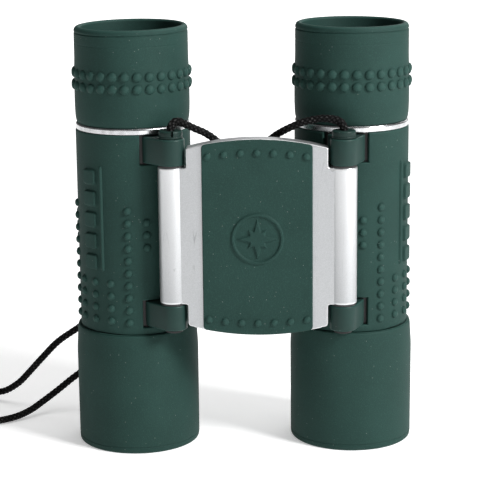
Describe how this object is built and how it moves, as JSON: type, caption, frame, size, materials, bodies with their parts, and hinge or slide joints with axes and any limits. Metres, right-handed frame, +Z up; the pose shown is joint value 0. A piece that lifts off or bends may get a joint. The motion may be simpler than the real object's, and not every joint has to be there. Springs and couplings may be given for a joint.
{
  "type": "folding pocket binoculars",
  "caption": "Rubber-armoured compact binoculars with straight tubes, a double-hinged bridge plate, turning focus eyepieces and a braided neck cord.",
  "frame": {"origin": "on the floor, under the middle of the box round both tubes and the bridge, cord left out", "axes": "+Z up, along the tubes and the hinge pins; +Y from the bridge's front panel towards the back; +X to the right, seen from the panel"},
  "size_m": [0.1474, 0.0528, 0.112],
  "materials": {
    "green_rubber": "matt moulded",
    "green_plastic": "satin moulded",
    "green_metal": "satin",
    "satin_silver": "satin silver",
    "chrome_ring": "bright turned",
    "black_metal": "matt black",
    "black_plastic": "fine matt",
    "steel": "bright",
    "coated_glass": "polished, coated",
    "clear_glass": "polished",
    "black_cord": "braided"
  },
  "bodies": {
    "bridge": {"bridge_plate": "satin_silver", "bridge_panel": "green_rubber", "bridge_back_cover": "green_plastic", "cover_screws": "steel", "left_pin": "green_metal", "right_pin": "green_metal", "hinge_washers": "black_plastic", "pin_clips": "black_metal", "cord_left_run": "black_cord", "cord_right_run": "black_cord", "cord_coil": "black_cord"},
    "left_tube": {"left_barrel": "green_plastic", "left_armour": "green_rubber", "left_objective_hood": "green_rubber", "left_objective_cell": "black_metal", "left_crown_lens": "coated_glass", "left_flint_lens": "clear_glass", "left_objective_retainer": "black_metal", "left_prism_cage": "black_plastic", "left_half_penta_prism": "clear_glass", "left_roof_prism": "clear_glass", "left_prism_clip": "steel", "left_collar": "chrome_ring", "left_guide_pin": "steel"},
    "right_tube": {"right_barrel": "green_plastic", "right_armour": "green_rubber", "right_objective_hood": "green_rubber", "right_objective_cell": "black_metal", "right_crown_lens": "coated_glass", "right_flint_lens": "clear_glass", "right_objective_retainer": "black_metal", "right_prism_cage": "black_plastic", "right_half_penta_prism": "clear_glass", "right_roof_prism": "clear_glass", "right_prism_clip": "steel", "right_collar": "chrome_ring", "right_guide_pin": "steel"},
    "left_ocular": {"left_ocular_cell": "black_plastic", "left_field_lens": "clear_glass", "left_lens_spacers": "black_metal", "left_eye_lens": "coated_glass", "left_eye_retainer": "black_metal"},
    "right_ocular": {"right_ocular_cell": "black_plastic", "right_field_lens": "clear_glass", "right_lens_spacers": "black_metal", "right_eye_lens": "coated_glass", "right_eye_retainer": "black_metal"},
    "left_focus": {"left_focus_ring": "black_plastic", "left_focus_sleeve": "green_rubber", "left_ring_nut": "black_plastic"},
    "right_focus": {"right_focus_ring": "black_plastic", "right_focus_sleeve": "green_rubber", "right_ring_nut": "black_plastic"}
  },
  "joints": [
    {"name": "left_hinge", "type": "hinge", "parent": "bridge", "child": "left_tube", "pos_m": [-0.01741, -0.01596, 0.0594], "axis": [0, 0, 1], "range_deg": [-51, 7]},
    {"name": "right_hinge", "type": "hinge", "parent": "bridge", "child": "right_tube", "pos_m": [0.02639, -0.01596, 0.0594], "axis": [0, 0, -1], "range_deg": [-22.6, 35.4]},
    {"name": "left_focus_lift", "type": "slide", "parent": "left_tube", "child": "left_ocular", "axis": [0, 0, 1], "range_m": [0, 0.003]},
    {"name": "right_focus_lift", "type": "slide", "parent": "right_tube", "child": "right_ocular", "axis": [0, 0, 1], "range_m": [0, 0.003]},
    {"name": "left_focus_turn", "type": "hinge", "parent": "left_ocular", "child": "left_focus", "pos_m": [-0.02865, 0.0001, 0.1], "axis": [0, 0, 1], "range_deg": [0, 270]},
    {"name": "right_focus_turn", "type": "hinge", "parent": "right_ocular", "child": "right_focus", "pos_m": [0.02865, 0.00351, 0.1], "axis": [0, 0, 1], "range_deg": [0, 270]}
  ],
  "couplings": [
    {"joint": "left_focus_lift", "follows": "left_focus_turn", "m_per_rad": 0.000636},
    {"joint": "right_focus_lift", "follows": "right_focus_turn", "m_per_rad": 0.000636}
  ]
}
